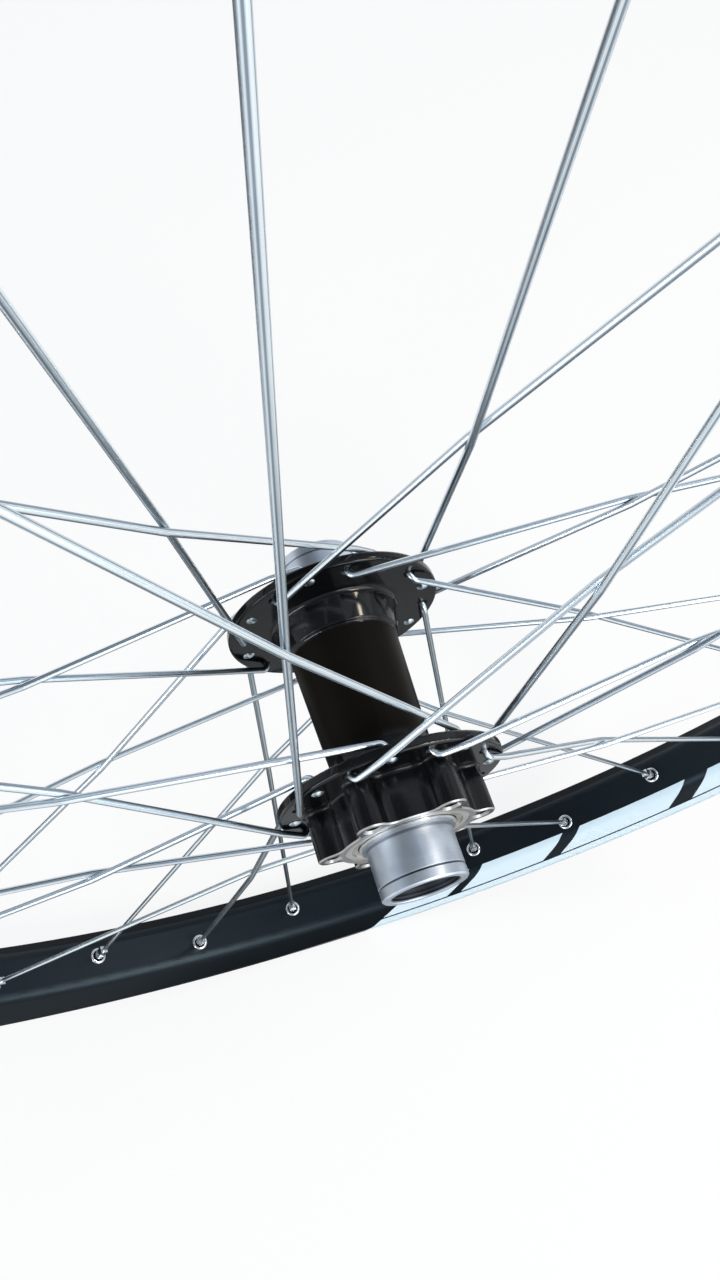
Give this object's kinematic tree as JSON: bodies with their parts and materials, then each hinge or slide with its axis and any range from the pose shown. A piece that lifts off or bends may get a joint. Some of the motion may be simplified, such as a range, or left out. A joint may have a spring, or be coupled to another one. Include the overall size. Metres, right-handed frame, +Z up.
{
  "type": "bicycle front wheel",
  "caption": "Spoked bicycle front wheel: black box-section rim, bright round spokes laced three-cross, and a black disc-brake hub that turns on a wide hollow axle.",
  "frame": {"origin": "centre of the axle's bore, half way between the two end faces and in the rim's middle plane", "axes": "+Y along the axle away from the brake-disc side, +Z up to the valve hole, +X across"},
  "size_m": [0.572, 0.11, 0.5719],
  "materials": {
    "rim_black": "satin black anodised with pale printed blocks",
    "hub_black": "gloss black anodised",
    "spoke_steel": "bright drawn stainless steel",
    "nipple_metal": "brass, bright nickel plated",
    "eyelet_steel": "pressed sheet, bright plated",
    "axle_metal": "turned",
    "cap_metal": "turned, bare",
    "bearing_steel": "ground",
    "shield_steel": "pressed sheet"
  },
  "bodies": {
    "axle": {"axle": "axle_metal", "left_end_cap": "cap_metal", "right_end_cap": "cap_metal", "left_inner_race": "bearing_steel", "right_inner_race": "bearing_steel"},
    "wheel": {"rim": "rim_black", "hub_shell": "hub_black", "spoke_left_outer_1": "spoke_steel", "spoke_left_outer_2": "spoke_steel", "spoke_left_outer_3": "spoke_steel", "spoke_left_outer_4": "spoke_steel", "spoke_left_outer_5": "spoke_steel", "spoke_left_outer_6": "spoke_steel", "spoke_left_outer_7": "spoke_steel", "spoke_left_outer_8": "spoke_steel", "spoke_left_inner_1": "spoke_steel", "spoke_left_inner_2": "spoke_steel", "spoke_left_inner_3": "spoke_steel", "spoke_left_inner_4": "spoke_steel", "spoke_left_inner_5": "spoke_steel", "spoke_left_inner_6": "spoke_steel", "spoke_left_inner_7": "spoke_steel", "spoke_left_inner_8": "spoke_steel", "spoke_right_outer_1": "spoke_steel", "spoke_right_outer_2": "spoke_steel", "spoke_right_outer_3": "spoke_steel", "spoke_right_outer_4": "spoke_steel", "spoke_right_outer_5": "spoke_steel", "spoke_right_outer_6": "spoke_steel", "spoke_right_outer_7": "spoke_steel", "spoke_right_outer_8": "spoke_steel", "spoke_right_inner_1": "spoke_steel", "spoke_right_inner_2": "spoke_steel", "spoke_right_inner_3": "spoke_steel", "spoke_right_inner_4": "spoke_steel", "spoke_right_inner_5": "spoke_steel", "spoke_right_inner_6": "spoke_steel", "spoke_right_inner_7": "spoke_steel", "spoke_right_inner_8": "spoke_steel", "nipples": "nipple_metal", "eyelets": "eyelet_steel", "left_outer_race": "bearing_steel", "right_outer_race": "bearing_steel", "left_outer_shield": "shield_steel", "left_inner_shield": "shield_steel", "right_outer_shield": "shield_steel", "right_inner_shield": "shield_steel"},
    "left_cage": {"left_ball_cage": "bearing_steel"},
    "right_cage": {"right_ball_cage": "bearing_steel"}
  },
  "joints": [
    {"name": "wheel_spin", "type": "hinge", "parent": "axle", "child": "wheel", "pos_m": [0, 0, 0], "axis": [0, 1, 0], "continuous": true},
    {"name": "left_cage_spin", "type": "hinge", "parent": "axle", "child": "left_cage", "pos_m": [0, 0, 0], "axis": [0, 1, 0], "continuous": true},
    {"name": "right_cage_spin", "type": "hinge", "parent": "axle", "child": "right_cage", "pos_m": [0, 0, 0], "axis": [0, 1, 0], "continuous": true}
  ],
  "couplings": [
    {"joint": "left_cage_spin", "follows": "wheel_spin", "ratio": 0.5348},
    {"joint": "right_cage_spin", "follows": "wheel_spin", "ratio": 0.5348}
  ]
}
